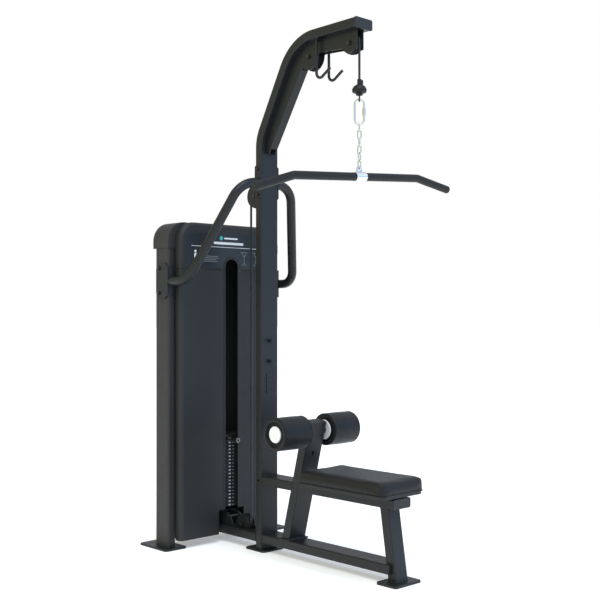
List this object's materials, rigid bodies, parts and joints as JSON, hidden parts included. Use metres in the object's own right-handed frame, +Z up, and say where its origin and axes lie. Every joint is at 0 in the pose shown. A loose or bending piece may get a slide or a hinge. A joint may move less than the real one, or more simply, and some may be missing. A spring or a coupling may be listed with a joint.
{
  "type": "lat pulldown machine",
  "caption": "Lat pulldown gym station: bent boom column with cable wheels and hanging angled bar, seat with thigh rollers and a shrouded selector weight stack tower",
  "frame": {"origin": "on the floor, under the centre of the main column", "axes": "+Z up, -Y toward the user and the seat, +Y toward the weight tower, X across the machine"},
  "size_m": [1.1541, 1.32, 2.2835],
  "materials": {
    "frame_paint": "satin dark anthracite powder coat with a fine orange peel",
    "cover_paint": "satin dark grey powder coated sheet",
    "black_plastic": "fine grained black plastic",
    "pulley_nylon": "turned black nylon",
    "chrome_steel": "polished chrome plate",
    "zinc_steel": "bright zinc plate, slightly yellow",
    "black_steel": "black oxide steel",
    "cast_weight": "black painted cast iron",
    "grip_rubber": "matt black rubber",
    "cable_jacket": "smooth black nylon jacket",
    "upholstery": "black artificial leather with a fine grain"
  },
  "bodies": {
    "frame": {"bar_storage_hooks": "frame_paint", "base_beam_front": "frame_paint", "base_beam_rear": "frame_paint", "boom_gusset": "frame_paint", "cable_main": "cable_jacket", "column_fittings": "black_plastic", "column_tie_beam": "frame_paint", "cover_fittings": "black_plastic", "foot_plates": "frame_paint", "frame_bolts": "black_steel", "guide_rods": "chrome_steel", "handle_left": "frame_paint", "handle_mounts": "frame_paint", "handle_right": "frame_paint", "main_column": "frame_paint", "pulley_axles": "black_steel", "pulley_brackets": "frame_paint", "roller_axle": "black_steel", "roller_chrome": "chrome_steel", "roller_sleeve": "black_steel", "seat_beam": "frame_paint", "seat_board": "black_plastic", "seat_cushion": "upholstery", "seat_leg": "frame_paint", "seat_straps": "frame_paint", "stack_base": "frame_paint", "stack_buffers": "grip_rubber", "thigh_post": "frame_paint", "tower_cross_members": "frame_paint", "tower_front_cover": "cover_paint", "tower_head_cover": "cover_paint", "tower_post_left": "frame_paint", "tower_post_right": "frame_paint", "tower_rear_cover": "cover_paint", "tower_top_cap": "cover_paint", "tube_end_caps": "black_plastic", "weight_plates": "cast_weight"},
    "hanger": {"cable_hanging": "cable_jacket", "cable_stopper": "black_plastic"},
    "swivel_eye": {"cable_eye": "black_steel"},
    "hanger_chain": {"carabiner": "zinc_steel", "chain": "zinc_steel"},
    "bar_swivel": {"bar_sleeve": "chrome_steel"},
    "pulldown_bar": {"lat_bar": "black_steel", "bar_grips": "grip_rubber"},
    "lifted_stack": {"top_plate": "cast_weight", "selector_stem": "chrome_steel", "cable_stack": "cable_jacket"},
    "stack_pin": {"selector_pin": "black_steel"},
    "roller_left": {"roller_foam_left": "upholstery", "roller_core_left": "black_plastic"},
    "roller_right": {"roller_foam_right": "upholstery", "roller_core_right": "black_plastic"},
    "wheel_tip": {"pulley_tip": "pulley_nylon"},
    "wheel_boom": {"pulley_boom": "pulley_nylon"},
    "wheel_column": {"pulley_column": "pulley_nylon"},
    "wheel_base_front": {"pulley_base_front": "pulley_nylon"},
    "wheel_base_rear": {"pulley_base_rear": "pulley_nylon"},
    "wheel_tower_top": {"pulley_tower_top": "pulley_nylon"}
  },
  "joints": [
    {"name": "pulldown", "type": "slide", "parent": "frame", "child": "hanger", "axis": [0, 0, -1], "range_m": [0, 0.78], "deforming": ["cable_hanging"]},
    {"name": "eye_turn", "type": "hinge", "parent": "hanger", "child": "swivel_eye", "pos_m": [0, -0.578, 1.985], "axis": [0, 0, 1], "range_deg": [-45, 45]},
    {"name": "chain_swing", "type": "hinge", "parent": "swivel_eye", "child": "hanger_chain", "pos_m": [0, -0.578, 1.9524], "axis": [1, 0, 0], "range_deg": [-12, 12]},
    {"name": "bar_tilt", "type": "hinge", "parent": "hanger_chain", "child": "bar_swivel", "pos_m": [0, -0.578, 1.6661], "axis": [0, 1, 0], "range_deg": [-10, 10]},
    {"name": "bar_roll", "type": "hinge", "parent": "bar_swivel", "child": "pulldown_bar", "pos_m": [0, -0.578, 1.634], "axis": [0.9972, 0, 0.0746], "range_deg": [-90, 90]},
    {"name": "stack_lift", "type": "slide", "parent": "frame", "child": "lifted_stack", "axis": [0, 0, 1], "range_m": [0, 0.78], "deforming": ["cable_stack"]},
    {"name": "pin_pull", "type": "slide", "parent": "lifted_stack", "child": "stack_pin", "axis": [0, -1, 0], "range_m": [0, 0.075]},
    {"name": "roller_left_spin", "type": "hinge", "parent": "frame", "child": "roller_left", "pos_m": [-0.146, -0.304, 0.564], "axis": [1, 0, 0], "continuous": true},
    {"name": "roller_right_spin", "type": "hinge", "parent": "frame", "child": "roller_right", "pos_m": [0.146, -0.304, 0.564], "axis": [1, 0, 0], "continuous": true},
    {"name": "wheel_tip_spin", "type": "hinge", "parent": "frame", "child": "wheel_tip", "pos_m": [0, -0.54, 2.19], "axis": [1, 0, 0], "range_deg": [0, 1190]},
    {"name": "wheel_boom_spin", "type": "hinge", "parent": "frame", "child": "wheel_boom", "pos_m": [0, -0.297, 2.178], "axis": [1, 0, 0], "range_deg": [0, 1010]},
    {"name": "wheel_column_spin", "type": "hinge", "parent": "frame", "child": "wheel_column", "pos_m": [0, 0.06, 1.608], "axis": [1, 0, 0], "range_deg": [0, 930]},
    {"name": "wheel_base_front_spin", "type": "hinge", "parent": "frame", "child": "wheel_base_front", "pos_m": [0, 0.147, 0.095], "axis": [1, 0, 0], "range_deg": [-1190, 0]},
    {"name": "wheel_base_rear_spin", "type": "hinge", "parent": "frame", "child": "wheel_base_rear", "pos_m": [0, 0.371, 0.088], "axis": [1, 0, 0], "range_deg": [-1460, 0]},
    {"name": "wheel_tower_top_spin", "type": "hinge", "parent": "frame", "child": "wheel_tower_top", "pos_m": [0, 0.372, 1.43], "axis": [1, 0, 0], "range_deg": [-1500, 0]}
  ],
  "couplings": [
    {"joint": "stack_lift", "follows": "pulldown", "ratio": 1},
    {"joint": "wheel_tip_spin", "follows": "pulldown", "rad_per_m": 26.316},
    {"joint": "wheel_boom_spin", "follows": "pulldown", "rad_per_m": 22.222},
    {"joint": "wheel_column_spin", "follows": "pulldown", "rad_per_m": 20.408},
    {"joint": "wheel_base_front_spin", "follows": "pulldown", "rad_per_m": -26.316},
    {"joint": "wheel_base_rear_spin", "follows": "pulldown", "rad_per_m": -32.258},
    {"joint": "wheel_tower_top_spin", "follows": "pulldown", "rad_per_m": -33.333}
  ]
}
